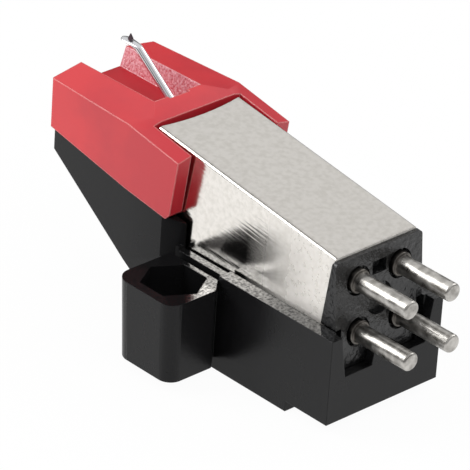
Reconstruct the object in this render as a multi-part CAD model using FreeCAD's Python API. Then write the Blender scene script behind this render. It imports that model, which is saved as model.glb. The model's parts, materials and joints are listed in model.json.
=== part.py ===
"""Half-inch-mount moving-magnet cartridge with a pull-off stylus, standing on its mounting face.

Millimetres. Z = 0 is the mounting face, +Z points to the stylus, the front is -Y,
and X = 0 is the plane of symmetry. The origin is midway between the two screw holes.
Pieces that follow the slide direction of the stylus are drawn level in (X, v, w)
and then turned about X by TILT.
"""
import math
import os

import FreeCAD
import Part

V = FreeCAD.Vector
os.makedirs("parts", exist_ok=True)

# Standard interface sizes
HOLE_SPACING = 12.7
HOLE_R = 1.15
HEX_FLATS = 3.36
PIN_R = 0.56

# Named clearances
PRESS = 0.0
SLIDE_GAP = 0.05
ARM_GAP = 0.085
DAMPER_GAP = 0.02
COIL_GAP = 0.08
POLE_GAP = 0.1
TRAY_GAP = 0.11
BLOCK_GAP = 0.07
WELL_GAP = 0.22
CUT = 40.0

# Slide direction of the stylus against the mounting face
TILT = 7.65
SIN = math.sin(math.radians(TILT))
COS = math.cos(math.radians(TILT))

# Shield cover, a folded sheet, in the tilted frame
SHEET = 0.3
SHIELD_TOP = 11.476
SHIELD_HALF = 3.15
SPLAY = 0.027
SHIELD_FRONT = -6.85
SHIELD_REAR = 7.98
FOLD_R = 0.22
FRONT_BOW = 0.3

# Body moulding
BODY_HALF = 4.35
BODY_REAR = 10.85
REAR_WALL = 0.6
WALL_IN = BODY_REAR - REAR_WALL
LEDGE_Z = 6.05
SHELF_DEPTH = 1.45
SHELF_Z = LEDGE_Z - SHELF_DEPTH
FLOOR_Z = 1.5
PAD_FRONT = -2.5
PAD_REAR = 7.55
UNDERCUT = 0.65
TRAY_HALF = SHIELD_HALF + SPLAY * (SHIELD_TOP - SHELF_Z) + TRAY_GAP
INNER_HALF = SHIELD_HALF - SHEET - COIL_GAP
WELL_HALF = INNER_HALF + WELL_GAP
WELL_FRONT = -2.6
STRIP_END = 1.6
STRIP_DROP = 0.2
GROOVE_DEPTH = 1.05
GROOVE_Z = LEDGE_Z - GROOVE_DEPTH
GROOVE_WIDTH = 0.4
GROOVE_IN = BODY_HALF - GROOVE_WIDTH

# Notches of the rear wall that leave room for the lead clips
CLIP_NOTCH_DEPTH = 2.65
CLIP_STEP_DEPTH = 1.85
CLIP_NOTCH_IN = 1.05
CLIP_NOTCH_OUT = 3.15
CLIP_DRAFT_IN = 0.13
CLIP_DRAFT_OUT = 0.45

# Nose wedge under the stylus holder
NOSE_FRONT = -13.28
NOSE_FRONT_HALF = 3.85
NOSE_HALF = 4.21
NOSE_LIP = 1.3
NOSE_CHIN = 0.33
NOSE_HEEL = 0.85
CHEEK_REAR = -3.5
CHEEK_WALL = 0.13
CHEEK_HALF = TRAY_HALF + CHEEK_WALL
CHEEK_LIP = -2.2

# Ears, walled round the hexagonal pockets
EAR_X = HOLE_SPACING / 2
HEX_R = HEX_FLATS / math.sqrt(3)
EAR_SIDE_WALL = 0.52
EAR_END_WALL = 0.39
EAR_OUT = EAR_X + HEX_FLATS / 2 + EAR_SIDE_WALL
EAR_HALF_Y = HEX_R + EAR_END_WALL
EAR_ROOT = 0.35
EAR_SLANT_OUT = 0.9
EAR_SLANT_BACK = 1.13
EAR_FOOT_IN = 0.06
EAR_FLARE = 0.17
EAR_FRONT_R = 1.05
EAR_REAR_R = 0.85
EAR_TOP = 5.75
EAR_BOTTOM = 0.68
POCKET_FLOOR = 1.72
POCKET_Z = EAR_BOTTOM + POCKET_FLOOR

# Terminal block and pins
BLOCK_HALF = TRAY_HALF - BLOCK_GAP
BLOCK_LOW_Y = WALL_IN - SLIDE_GAP
PLATE_LEAN = 0.5
BLOCK_TOP_Y = BLOCK_LOW_Y - PLATE_LEAN
PLATE_DROP = 0.18
PLATE_FALL = 0.03
PLATE_CORNER_R = 0.25
PLATE_FOOT_IN = 0.43
PIN_X = 1.63
PIN_OVER_SHELF = 0.85
PIN_PITCH = 3.15
PIN_LOW = SHELF_Z + PIN_OVER_SHELF
PIN_HIGH = PIN_LOW + PIN_PITCH
PIN_OUT = 4.22
PIN_CHAMFER = 0.16
PIN_TAIL_R = 0.34
PIN_TAIL = 2.2
COLLAR_R = 0.74
COLLAR_OUT = 0.2
COUNTERBORE_R = 0.9
COUNTERBORE = 0.3
WINDOW_HALF = 0.55
WINDOW_LOW = 0.03
WINDOW_HIGH = 0.77
WINDOW_DEPTH = 0.6
BOSS_R = 1.0
BOSS_DEPTH = 0.25

# Coils and cores, in the tilted frame
AXIS_DROP = 1.876
AXIS_W = SHIELD_TOP - AXIS_DROP
COIL_HALF_H = AXIS_DROP - SHEET - COIL_GAP
SLEEVE_R = 1.1
CORE_W = 0.8
CORE_H = 1.1
CORE_X = SLEEVE_R + POLE_GAP + CORE_W / 2
CORE_FRONT = -5.8
COIL_FRONT = -2.2
COIL_REAR = 5.0
BARREL = 0.2
FLANGE = 0.3
COIL_MIDDLE = 0.15
WIND_INSET = 0.17
WIND_R = 0.5
PLATFORM = 0.8
PLATFORM_FRONT = -5.0
LEG_FRONT = 0.1
LEG_LENGTH = 0.8
REAR_LEG = 4.2

# Stylus holder
RED_HALF = 4.33
RED_FRONT = -13.59
RED_FRONT_HALF = 3.95
RED_BREAK = -6.6
RED_CORNER_R = 0.1
RED_BOTTOM = 7.15
RED_BACK = -7.05
ARM_END = -3.8
HEEL_LENGTH = 0.3
HEEL_HEIGHT = 0.4
NOTCH_TOP = 1.79
NOTCH_LOW = 1.34
NOTCH_END = -7.2
NOTCH_DEPTH = 1.33
ROOF_RISE = 0.114
FRONT_FALL_OUT = 0.166
FRONT_RISE_BACK = 0.02
BRIDGE_FALL_BACK = 0.1335
ARM_FALL_OUT = 0.25
ARM_FALL_BACK = 0.1694
HOLLOW_HALF = 2.9
HOLLOW_REAR = -9.3
HOLLOW_DEPTH = 1.25

# Stylus suspension, in the tilted frame
SLEEVE_BORE = 0.85
SLEEVE_FRONT = -8.5
SLEEVE_REAR = -2.8
SLOT_HALF = 0.6
SLOT_REAR = -7.4
SLOT_LOW = 0.2
WINDOW_ROOM = 0.15
HOLDER_WINDOW_FRONT = -9.5
HOLDER_WINDOW_TOP = 1.62
HOLDER_SLOT = 0.2
PLUG_LENGTH = 0.8
PIVOT_V = -6.83
WIRE_R = 0.06
WIRE_SEAT = 0.12
WIRE_ROOM = 0.18
WIRE_HOLE = 0.3

# Cantilever, damper, magnet and tip
CANT_ANGLE = 35.7
CANT_R = 0.25
CANT_BORE = 0.16
CANT_REACH = 5.13
CANT_CLOSED = 0.9
CANT_SEAT = 0.1
DAMPER_HALF = 0.25
DAMPER_HOLE_GAP = 0.015
MAGNET_R = 0.32
MAGNET_START = 0.3
MAGNET_END = 0.95
PADDLE_LENGTH = 1.44
PADDLE_OVERLAP = 0.18
PADDLE_HALF = 0.34
PADDLE_RISE = 0.06
PADDLE_THICK = 0.2
PADDLE_R = 0.28
TIP_INSET = 0.69
TIP_HEIGHT = 0.42
TIP_R = 0.17
TIP_POINT_R = 0.02
SHANK_R = 0.11


def box(x0, x1, y0, y1, z0, z1):
    return Part.makeBox(x1 - x0, y1 - y0, z1 - z0, V(x0, y0, z0))


def face(points):
    return Part.Face(Part.makePolygon(list(points) + [points[0]]))


def prism_yz(points, x0, x1):
    return face([V(x0, y, z) for y, z in points]).extrude(V(x1 - x0, 0, 0))


def prism_xy(points, z0, z1):
    return face([V(x, y, z0) for x, y in points]).extrude(V(0, 0, z1 - z0))


def prism_xz(points, y0, y1):
    return face([V(x, y0, z) for x, z in points]).extrude(V(0, y1 - y0, 0))


def tilted(shape):
    turned = shape.copy()
    turned.rotate(V(0, 0, 0), V(1, 0, 0), -TILT)
    return turned


def flat(v, w):
    """Level Y and Z of a point of the tilted frame."""
    return v * COS + w * SIN, -v * SIN + w * COS


def y_at(v, z):
    """Level Y where the plane v = constant meets the height z."""
    return (v + z * SIN) / COS


def z_at(w, y):
    """Level Z where the plane w = constant meets the depth y."""
    return (w - y * SIN) / COS


def above(x, y, z, along_x, along_y):
    """Everything above the plane through (x, y, z) with these two slopes."""
    corners = [(-CUT, -CUT), (CUT, -CUT), (CUT, CUT), (-CUT, CUT)]
    sheet = face([V(a, b, z + along_x * (a - x) + along_y * (b - y)) for a, b in corners])
    return sheet.extrude(V(0, 0, CUT))


def mirrored(shape):
    return shape.mirror(V(0, 0, 0), V(1, 0, 0))


def both(shape):
    return shape.fuse(mirrored(shape))


def rod_y(r, x, z, y0, y1):
    return Part.makeCylinder(r, y1 - y0, V(x, y0, z), V(0, 1, 0))


def rod(r, a, b):
    return Part.makeCylinder(r, (b - a).Length, a, b - a)


def upright_at(shape, x, y, room=0.005):
    """The upright edges of a prism that stand at (x, y), or within the room given."""
    found = []
    for edge in shape.Edges:
        ends = [edge.Vertexes[0].Point, edge.Vertexes[-1].Point]
        rise = abs(ends[0].z - ends[1].z)
        if rise > 2 * room and max(abs(p.x - x) + abs(p.y - y) for p in ends) < room:
            found.append(edge)
    return found


def save(name, shape):
    solid = shape.removeSplitter()
    if len(solid.Solids) == 1:
        solid = solid.Solids[0]
    print(name, "solids", len(shape.Solids), "volume", round(solid.Volume, 3), "valid", solid.isValid())
    solid.exportStep("parts/" + name + ".step")


# Body moulding: tray, nose wedge and two screw ears in one piece
NOSE_TOP = RED_BOTTOM - SLIDE_GAP
tray = box(-BODY_HALF, BODY_HALF, PAD_FRONT, BODY_REAR, 0, LEDGE_Z)
tray = tray.cut(box(-CUT, CUT, PAD_REAR, CUT, -CUT, UNDERCUT))

lip_z = z_at(NOSE_TOP, NOSE_FRONT)
chin_z = lip_z - NOSE_LIP
chin_fall = NOSE_CHIN * (chin_z - NOSE_HEEL) / (PAD_FRONT - NOSE_FRONT)
nose_side = [
    (NOSE_FRONT, lip_z),
    (NOSE_FRONT, chin_z),
    (NOSE_FRONT + NOSE_CHIN, chin_z - chin_fall),
    (PAD_FRONT, NOSE_HEEL),
    (PAD_FRONT, 0),
    (CHEEK_LIP, 0),
    (CHEEK_LIP, z_at(NOSE_TOP, CHEEK_LIP)),
]
nose = prism_yz(nose_side, -NOSE_HALF, NOSE_HALF)
taper = [
    (NOSE_FRONT_HALF, NOSE_FRONT),
    (NOSE_HALF, RED_BREAK),
    (CUT, RED_BREAK),
    (CUT, -CUT),
    (NOSE_FRONT_HALF, -CUT),
]
nose = nose.cut(both(prism_xy(taper, -CUT, CUT)))
cheek = [
    (NOSE_HALF, CHEEK_REAR),
    (CHEEK_HALF, CHEEK_LIP),
    (CHEEK_HALF, CUT),
    (CUT, CUT),
    (CUT, CHEEK_REAR),
]
nose = nose.cut(both(prism_xy(cheek, GROOVE_Z, CUT)))



def ear_outline(grow, z):
    """Plan of an ear whose outer and front walls stand out by grow."""
    plan = [
        (BODY_HALF - EAR_ROOT, -EAR_HALF_Y - grow),
        (EAR_OUT + grow, -EAR_HALF_Y - grow),
        (EAR_OUT + grow, EAR_HALF_Y),
        (BODY_HALF + EAR_SLANT_OUT, EAR_HALF_Y),
        (BODY_HALF - EAR_ROOT, EAR_HALF_Y - EAR_SLANT_BACK),
    ]
    corners = [V(x, y, z) for x, y in plan]
    return Part.makePolygon(corners + [corners[0]])


ear_foot = ear_outline(-EAR_FOOT_IN, EAR_BOTTOM)
ear_rim = ear_outline(EAR_FLARE - EAR_FOOT_IN, EAR_TOP)
ear = Part.makeLoft([ear_foot, ear_rim], True, True)
ear = ear.makeFillet(EAR_FRONT_R, upright_at(ear, EAR_OUT, -EAR_HALF_Y, 2 * EAR_FLARE))
ear = ear.makeFillet(EAR_REAR_R, upright_at(ear, EAR_OUT, EAR_HALF_Y, 2 * EAR_FLARE))
hexagon = []
for i in range(6):
    turn = math.radians(90 + 60 * i)
    hexagon.append((EAR_X + HEX_R * math.cos(turn), HEX_R * math.sin(turn)))

body = tray.fuse([nose, ear, mirrored(ear)])
body = body.cut(both(prism_xy(hexagon, POCKET_Z, CUT)))
body = body.cut(both(Part.makeCylinder(HOLE_R, 2 * CUT, V(EAR_X, 0, -CUT), V(0, 0, 1))))

upper = tilted(box(-TRAY_HALF, TRAY_HALF, SHIELD_FRONT - TRAY_GAP, CUT, -CUT, CUT))
body = body.cut(upper.common(box(-CUT, CUT, -CUT, WALL_IN, SHELF_Z, CUT)))
body = body.cut(box(-WELL_HALF, WELL_HALF, WELL_FRONT, WALL_IN, FLOOR_Z, CUT))
body = body.cut(both(box(GROOVE_IN, BODY_HALF, PAD_FRONT - SLIDE_GAP, STRIP_END, GROOVE_Z, CUT)))
body = body.cut(both(box(TRAY_HALF - SLIDE_GAP, BODY_HALF, CHEEK_LIP, STRIP_END, LEDGE_Z - STRIP_DROP, CUT)))
clip_floor = LEDGE_Z - CLIP_NOTCH_DEPTH
clip_step = LEDGE_Z - CLIP_STEP_DEPTH
clip_notch = [
    (CLIP_NOTCH_IN, clip_floor),
    (CLIP_NOTCH_OUT, clip_floor),
    (CLIP_NOTCH_OUT + CLIP_DRAFT_OUT, LEDGE_Z),
    (CLIP_NOTCH_OUT + CLIP_DRAFT_OUT, CUT),
    (0, CUT),
    (0, clip_step),
    (CLIP_NOTCH_IN - CLIP_DRAFT_IN, clip_step),
]
body = body.cut(both(prism_xz(clip_notch, WALL_IN - SLIDE_GAP, CUT)))
save("body_shell", body)


# Shield cover: folded nickel-plated sheet over the coils
def splayed(half, top, bottom):
    spread = half + SPLAY * (top - bottom)
    return [(-half, top), (half, top), (spread, bottom), (-spread, bottom)]


outer = prism_xz(splayed(SHIELD_HALF, SHIELD_TOP, 0), SHIELD_FRONT, SHIELD_REAR)
folds = [e for e in outer.Edges if e.BoundBox.ZMin > SHIELD_TOP - SHEET and e.BoundBox.YLength > SHEET]
outer = outer.makeFillet(FOLD_R, folds)
inner = prism_xz(splayed(SHIELD_HALF - SHEET, SHIELD_TOP - SHEET, -SHEET), -CUT, CUT)
bow_r = (SHIELD_HALF**2 + FRONT_BOW**2) / (2 * FRONT_BOW)
bow = Part.makeCylinder(bow_r, CUT, V(0, SHIELD_FRONT + FRONT_BOW - bow_r, SHIELD_TOP - 2 * SHEET))
shield = tilted(outer.cut(inner.fuse(bow))).cut(box(-CUT, CUT, -CUT, CUT, -CUT, SHELF_Z))
save("shield_cover", shield)

# Terminal block: coil carrier and rear plate in one moulding
top_y, top_z = flat(SHIELD_REAR, SHIELD_TOP - PLATE_DROP)
low_z = SHELF_Z + SLIDE_GAP


def plate_y(z):
    """Depth of the rear plate's leaning outer face at the height z."""
    return BLOCK_LOW_Y - PLATE_LEAN * (z - low_z) / (top_z - PLATE_FALL - low_z)


plate_side = [
    (top_y, top_z),
    (BLOCK_TOP_Y, top_z - PLATE_FALL),
    (BLOCK_LOW_Y, low_z),
    (y_at(SHIELD_REAR, low_z), low_z),
]
plate = prism_yz(plate_side, -BLOCK_HALF, BLOCK_HALF)
corners = [e for e in plate.Edges if e.BoundBox.ZMin > top_z - PLATE_DROP and e.BoundBox.XLength < SLIDE_GAP]
plate = plate.makeFillet(PLATE_CORNER_R, corners)
plate = plate.cut(both(box(BLOCK_HALF - PLATE_FOOT_IN, CUT, -CUT, CUT, -CUT, LEDGE_Z)))
COIL_TOP = AXIS_W + COIL_HALF_H
COIL_BOTTOM = AXIS_W - COIL_HALF_H
core_block = tilted(box(-INNER_HALF, INNER_HALF, COIL_REAR, SHIELD_REAR + SLIDE_GAP, 0, COIL_TOP))
core_block = core_block.cut(box(-CUT, CUT, -CUT, CUT, -CUT, SHELF_Z - SLIDE_GAP))
platform_low = COIL_BOTTOM - PLATFORM
platform = box(-INNER_HALF, INNER_HALF, PLATFORM_FRONT, COIL_REAR + SLIDE_GAP, platform_low, COIL_BOTTOM)
platform = tilted(platform)
rear_leg = box(-INNER_HALF, INNER_HALF, BLOCK_LOW_Y - REAR_LEG, BLOCK_LOW_Y, FLOOR_Z, SHELF_Z + SLIDE_GAP)
leg_front = WELL_FRONT + LEG_FRONT
leg_top = z_at(COIL_BOTTOM, leg_front + LEG_LENGTH) - PLATFORM / 2
front_leg = box(-INNER_HALF, INNER_HALF, leg_front, leg_front + LEG_LENGTH, FLOOR_Z, leg_top)
block = plate.fuse([core_block, platform, rear_leg, front_leg])
for z in (PIN_HIGH, PIN_LOW):
    seat_y = plate_y(z) - COUNTERBORE
    bore = rod_y(PIN_TAIL_R + PRESS, PIN_X, z, seat_y - PIN_TAIL, CUT)
    seat = rod_y(COUNTERBORE_R, PIN_X, z, seat_y, CUT)
    block = block.cut(both(bore.fuse(seat)))
window_y = plate_y(PIN_HIGH) - WINDOW_DEPTH
window_z = PIN_HIGH + WINDOW_HIGH
block = block.cut(box(-WINDOW_HALF, WINDOW_HALF, window_y, CUT, PIN_HIGH - WINDOW_LOW, window_z))
boss_z = (PIN_LOW + PIN_HIGH) / 2
block = block.cut(rod_y(BOSS_R, 0, boss_z, plate_y(boss_z) - BOSS_DEPTH, CUT))
save("terminal_block", block)

# Four terminal pins, each with a collar and a thinner tail pressed into the block
for name, side, z in (
    ("pin_right_signal", 1, PIN_HIGH),
    ("pin_right_ground", 1, PIN_LOW),
    ("pin_left_signal", -1, PIN_HIGH),
    ("pin_left_ground", -1, PIN_LOW),
):
    seat_y = plate_y(z) - COUNTERBORE
    collar_y = plate_y(z) + COLLAR_OUT
    pin_tip = plate_y(z) + PIN_OUT
    pin = rod_y(PIN_R, side * PIN_X, z, collar_y, pin_tip)
    end = [e for e in pin.Edges if e.BoundBox.YMin > pin_tip - SLIDE_GAP]
    pin = pin.makeChamfer(PIN_CHAMFER, end)
    collar = rod_y(COLLAR_R, side * PIN_X, z, seat_y, collar_y)
    tail = rod_y(PIN_TAIL_R, side * PIN_X, z, seat_y - PIN_TAIL, seat_y)
    save(name, pin.fuse([collar, tail]))

# Coil bobbins, windings and cores, one set for each channel
for name, side in (("right", 1), ("left", -1)):
    x0, x1 = CORE_X - CORE_W / 2, CORE_X + CORE_W / 2
    w0, w1 = AXIS_W - CORE_H / 2, AXIS_W + CORE_H / 2
    bar = box(x0, x1, CORE_FRONT, COIL_REAR, w0, w1)
    barrel = box(x0 - BARREL, x1 + BARREL, COIL_FRONT, COIL_REAR, w0 - BARREL, w1 + BARREL)
    front_flange = box(COIL_MIDDLE, INNER_HALF, COIL_FRONT, COIL_FRONT + FLANGE, COIL_BOTTOM, COIL_TOP)
    rear_flange = box(COIL_MIDDLE, INNER_HALF, COIL_REAR - FLANGE, COIL_REAR, COIL_BOTTOM, COIL_TOP)
    bobbin = barrel.fuse([front_flange, rear_flange]).cut(bar)
    winding = box(
        COIL_MIDDLE + WIND_INSET,
        INNER_HALF - WIND_INSET,
        COIL_FRONT + FLANGE,
        COIL_REAR - FLANGE,
        COIL_BOTTOM + WIND_INSET,
        COIL_TOP - WIND_INSET,
    )
    turns = [e for e in winding.Edges if e.BoundBox.YLength > FLANGE]
    winding = winding.makeFillet(WIND_R, turns).cut(barrel)
    for label, shape in (("core", bar), ("bobbin", bobbin), ("coil", winding)):
        shape = tilted(shape)
        save(label + "_" + name, shape if side > 0 else mirrored(shape))

# Stylus holder: red saddle moulding with a hipped roof, which slides off the front
holder_plan = [
    (-RED_FRONT_HALF, RED_FRONT),
    (RED_FRONT_HALF, RED_FRONT),
    (RED_HALF, RED_BREAK),
    (RED_HALF, 0),
    (-RED_HALF, 0),
    (-RED_HALF, RED_BREAK),
]
holder = prism_xy(holder_plan, 0, 2 * SHIELD_TOP)
for x in (-RED_FRONT_HALF, RED_FRONT_HALF):
    holder = holder.makeFillet(RED_CORNER_R, upright_at(holder, x, RED_FRONT))
roof_z = z_at(SHIELD_TOP, NOTCH_END) + ROOF_RISE
break_z = roof_z - FRONT_FALL_OUT * (RED_HALF - NOTCH_TOP) + FRONT_RISE_BACK * (RED_BREAK - NOTCH_END)
holder = holder.cut(above(0, NOTCH_END, roof_z, 0, -BRIDGE_FALL_BACK))
for side in (1, -1):
    holder = holder.cut(above(side * NOTCH_TOP, NOTCH_END, roof_z, -side * FRONT_FALL_OUT, FRONT_RISE_BACK))
    holder = holder.cut(above(side * RED_HALF, RED_BREAK, break_z, -side * ARM_FALL_OUT, -ARM_FALL_BACK))
arm_in = SHIELD_HALF + SPLAY * (SHIELD_TOP - RED_BOTTOM) + ARM_GAP
holder = holder.cut(tilted(box(-arm_in, arm_in, RED_BACK, CUT, -CUT, CUT)))
holder = holder.cut(tilted(box(-CUT, CUT, -CUT, CUT, -CUT, RED_BOTTOM)))
holder = holder.cut(tilted(box(-CUT, CUT, ARM_END, CUT, -CUT, CUT)))
heel = [
    (ARM_END - HEEL_LENGTH, RED_BOTTOM),
    (ARM_END, RED_BOTTOM - SLIDE_GAP),
    (ARM_END + SLIDE_GAP, RED_BOTTOM - SLIDE_GAP),
    (ARM_END + SLIDE_GAP, RED_BOTTOM + HEEL_HEIGHT),
    (ARM_END, RED_BOTTOM + HEEL_HEIGHT),
]
holder = holder.cut(tilted(prism_yz(heel, -CUT, CUT)))
notch_floor = roof_z - NOTCH_DEPTH
notch = [
    (-NOTCH_LOW, notch_floor),
    (NOTCH_LOW, notch_floor),
    (NOTCH_TOP, roof_z),
    (NOTCH_TOP, CUT),
    (-NOTCH_TOP, CUT),
    (-NOTCH_TOP, roof_z),
]
holder = holder.cut(prism_xz(notch, -CUT, NOTCH_END))
holder = holder.cut(tilted(rod_y(SLEEVE_R + PRESS, 0, AXIS_W, SLEEVE_FRONT, 0)))
window_half = SLOT_HALF + WINDOW_ROOM
window_low = AXIS_W + SLOT_LOW + CANT_SEAT
window_top = AXIS_W + HOLDER_WINDOW_TOP
window = box(-window_half, window_half, HOLDER_WINDOW_FRONT, SLOT_REAR, window_low, window_top)
holder = holder.cut(tilted(window))
slot_y = NOTCH_END + HOLDER_SLOT
slot_z = z_at(window_top, slot_y) - SLIDE_GAP
holder = holder.cut(box(-window_half, window_half, NOTCH_END - SLIDE_GAP, slot_y, slot_z, CUT))
holder = holder.cut(tilted(box(-HOLLOW_HALF, HOLLOW_HALF, -CUT, HOLLOW_REAR, 0, RED_BOTTOM + HOLLOW_DEPTH)))
save("stylus_holder", holder)

# Sleeve, plug and tie wire of the suspension
sleeve = rod_y(SLEEVE_R, 0, AXIS_W, SLEEVE_FRONT, SLEEVE_REAR)
sleeve = sleeve.cut(rod_y(SLEEVE_BORE, 0, AXIS_W, -CUT, CUT))
sleeve = sleeve.cut(box(-SLOT_HALF, SLOT_HALF, -CUT, SLOT_REAR, AXIS_W + SLOT_LOW, CUT))
save("stylus_sleeve", tilted(sleeve))

pivot_y, pivot_z = flat(PIVOT_V, AXIS_W)
pivot = V(0, pivot_y, pivot_z)
lift = math.radians(CANT_ANGLE)
back = V(0, math.cos(lift), -math.sin(lift))


def along(s):
    """Point on the cantilever axis, s behind the pivot."""
    return pivot + back * s


plug_y, plug_z = flat(SLEEVE_REAR - PLUG_LENGTH / 2, AXIS_W)
wire = rod(WIRE_R, V(0, plug_y, plug_z), along(MAGNET_END - WIRE_SEAT))
plug = tilted(rod_y(SLEEVE_BORE - PRESS, 0, AXIS_W, SLEEVE_REAR - PLUG_LENGTH, SLEEVE_REAR)).cut(wire)
save("sleeve_plug", plug)
save("tie_wire", wire)

# Damper, magnet, cantilever and tip
ball = Part.makeSphere(SLEEVE_BORE - DAMPER_GAP, pivot)
zone = rod(2 * SLEEVE_R, along(-DAMPER_HALF), along(DAMPER_HALF))
damper = ball.common(zone).cut(rod(CANT_R + DAMPER_HOLE_GAP, along(-2 * SLEEVE_R), along(2 * SLEEVE_R)))
save("damper", damper)

magnet = rod(MAGNET_R, along(MAGNET_START), along(MAGNET_END))
magnet = magnet.cut(rod(WIRE_R + WIRE_ROOM, along(MAGNET_END - WIRE_HOLE), along(2 * MAGNET_END)))
save("magnet", magnet)

reach = CANT_REACH / math.cos(lift)
tube_end = along(-reach)
tube = rod(CANT_R, along(MAGNET_START), tube_end)
tube = tube.cut(rod(CANT_BORE, along(MAGNET_START + CANT_SEAT), along(CANT_CLOSED - reach)))
paddle_low = tube_end.z + PADDLE_RISE
paddle_top = paddle_low + PADDLE_THICK
paddle_front = tube_end.y - PADDLE_LENGTH
paddle = box(-PADDLE_HALF, PADDLE_HALF, paddle_front, tube_end.y + PADDLE_OVERLAP, paddle_low, paddle_top)
for x in (-PADDLE_HALF, PADDLE_HALF):
    paddle = paddle.makeFillet(PADDLE_R, upright_at(paddle, x, paddle_front))
tip_y = paddle_front + TIP_INSET
cantilever = tube.fuse(paddle).cut(Part.makeCylinder(SHANK_R, CUT, V(0, tip_y, 0)))
save("cantilever", cantilever)

tip = Part.makeCylinder(SHANK_R, PADDLE_THICK, V(0, tip_y, paddle_low))
tip = tip.fuse(Part.makeCone(TIP_R, TIP_POINT_R, TIP_HEIGHT, V(0, tip_y, paddle_top)))
save("stylus_tip", tip)
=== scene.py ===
"""Looks of a half-inch-mount phono cartridge with a pull-off stylus, lying on its mounting face."""
import json
import math

import bmesh
import bpy
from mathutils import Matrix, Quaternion, Vector


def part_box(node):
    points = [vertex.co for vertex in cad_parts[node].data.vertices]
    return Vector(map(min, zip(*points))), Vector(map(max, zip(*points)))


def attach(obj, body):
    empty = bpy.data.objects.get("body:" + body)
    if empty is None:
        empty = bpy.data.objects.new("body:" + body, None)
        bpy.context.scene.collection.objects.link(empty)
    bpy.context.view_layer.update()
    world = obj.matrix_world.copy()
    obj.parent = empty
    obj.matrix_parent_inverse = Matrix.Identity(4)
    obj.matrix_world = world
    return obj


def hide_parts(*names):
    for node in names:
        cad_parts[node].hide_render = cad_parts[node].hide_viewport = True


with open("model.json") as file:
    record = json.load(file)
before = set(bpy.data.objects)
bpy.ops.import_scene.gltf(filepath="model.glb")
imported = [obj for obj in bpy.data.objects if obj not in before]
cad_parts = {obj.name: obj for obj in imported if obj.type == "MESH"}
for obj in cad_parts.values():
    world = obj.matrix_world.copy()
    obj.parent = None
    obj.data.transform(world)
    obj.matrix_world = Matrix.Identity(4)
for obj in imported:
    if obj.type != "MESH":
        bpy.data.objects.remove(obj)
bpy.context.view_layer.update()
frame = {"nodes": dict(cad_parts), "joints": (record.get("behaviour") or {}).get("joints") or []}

# Body moulding: a tray with a nose wedge and two screw ears, injection moulded in one piece.
# It is black ABS from a spark-eroded tool: satin walls, cheeks behind the nose drawn almost without sheen so
# that they show dark, and a glittering grain on the ledge and the ear tops, whose sheen fades out towards
# the outer front of the ears as painted shade.
MM = 0.001
BODY_EDGE_MM = 0.07
SAME_POINT_MM = 0.0001
FLAT_DEG = 0.4
SHARP_DEG = 28
CREASE_DEG = 32
ABS_BLACK = "#141415"
ABS_IOR = 1.53
ABS_GRAIN_MM = 0.11
ABS_GRAIN_DEPTH_MM = 0.012
ABS_GRAIN_STRENGTH = 0.7
ABS_SATIN = 0.27
ABS_SPARK_MM = 0.13
ABS_SPARK_DEPTH_MM = 0.006
ABS_SPARK_GLOSS = 0.13
ABS_CLOUD_MM = 2.5
ABS_CLOUD_GLOSS = 0.02
CHEEK_FROM_MM = -3.7
CHEEK_TO_MM = -1.0
CHEEK_BASE_MM = 5.0
CHEEK_SIDEWAYS = 0.5
TOPS_FROM_MM = 5.6
TOPS_TO_MM = 6.2
TOPS_UPWARD = 0.95
SHADED_FRONT_FROM_MM = 5.2
SHADED_FRONT_TO_MM = 5.8
SHADED_FRONT_SLANT = -0.77
LEDGE_HALF_MM = 5.3
LEDGE_BLEND_MM = 0.1
LEDGE_SHARE = 0.38
FACET_FROM = 0.36
FACET_TO = 0.64
FACET_DARK = 0.2
FACET_BRIGHT = 1.8


def linear(colour, alpha=1.0):
    """A linear colour from an sRGB hex value."""
    channels = [int(colour[i:i + 2], 16) / 255 for i in (1, 3, 5)]
    return tuple(c / 12.92 if c <= 0.04045 else ((c + 0.055) / 1.055) ** 2.4 for c in channels) + (alpha,)


def add(tree, kind, sockets=None, **settings):
    """A shader node with its settings, its socket values and its links."""
    made = tree.nodes.new("ShaderNode" + kind)
    for name, value in settings.items():
        setattr(made, name, value)
    for name, value in (sockets or {}).items():
        if isinstance(value, bpy.types.NodeSocket):
            tree.links.new(value, made.inputs[name])
        else:
            made.inputs[name].default_value = value
    return made


def empty_material(name):
    """A new material with no nodes, and its node tree."""
    made = bpy.data.materials.new(name)
    made.use_nodes = True
    made.node_tree.nodes.clear()
    return made, made.node_tree


def per_mm(size_mm):
    """Pattern scale at which one feature is this many millimetres across."""
    return 1 / (size_mm * MM)


def finished(name, mesh, materials):
    """A new piece with these materials, shaded smooth but for its creases."""
    mesh.materials.clear()
    for material in materials:
        mesh.materials.append(material)
    mesh.shade_smooth()
    mesh.set_sharp_from_angle(angle=math.radians(CREASE_DEG))
    piece = bpy.data.objects.new(name, mesh)
    bpy.context.scene.collection.objects.link(piece)
    normals = piece.modifiers.new("flat_faces", "WEIGHTED_NORMAL")
    normals.keep_sharp = True
    return piece


def rounded_copy(node, name, edge_mm, materials, steps=3, shortest_mm=0.35):
    """A CAD solid's form as a new piece, with its sharp edges rounded over."""
    mesh = frame["nodes"][node].data.copy()
    mesh.name = name
    form = bmesh.new()
    form.from_mesh(mesh)
    bmesh.ops.remove_doubles(form, verts=form.verts, dist=SAME_POINT_MM * MM)
    bmesh.ops.dissolve_limit(form, angle_limit=math.radians(FLAT_DEG), verts=form.verts, edges=form.edges)
    edges = []
    for edge in form.edges:
        if edge.is_manifold and edge.calc_length() > shortest_mm * MM:
            if edge.calc_face_angle(0) > math.radians(SHARP_DEG):
                edges.append(edge)
    bmesh.ops.bevel(
        form, geom=edges, offset=edge_mm * MM, offset_type="OFFSET", segments=steps,
        profile=0.5, affect="EDGES", clamp_overlap=True,
    )
    form.to_mesh(mesh)
    form.free()
    return finished(name, mesh, materials)


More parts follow.
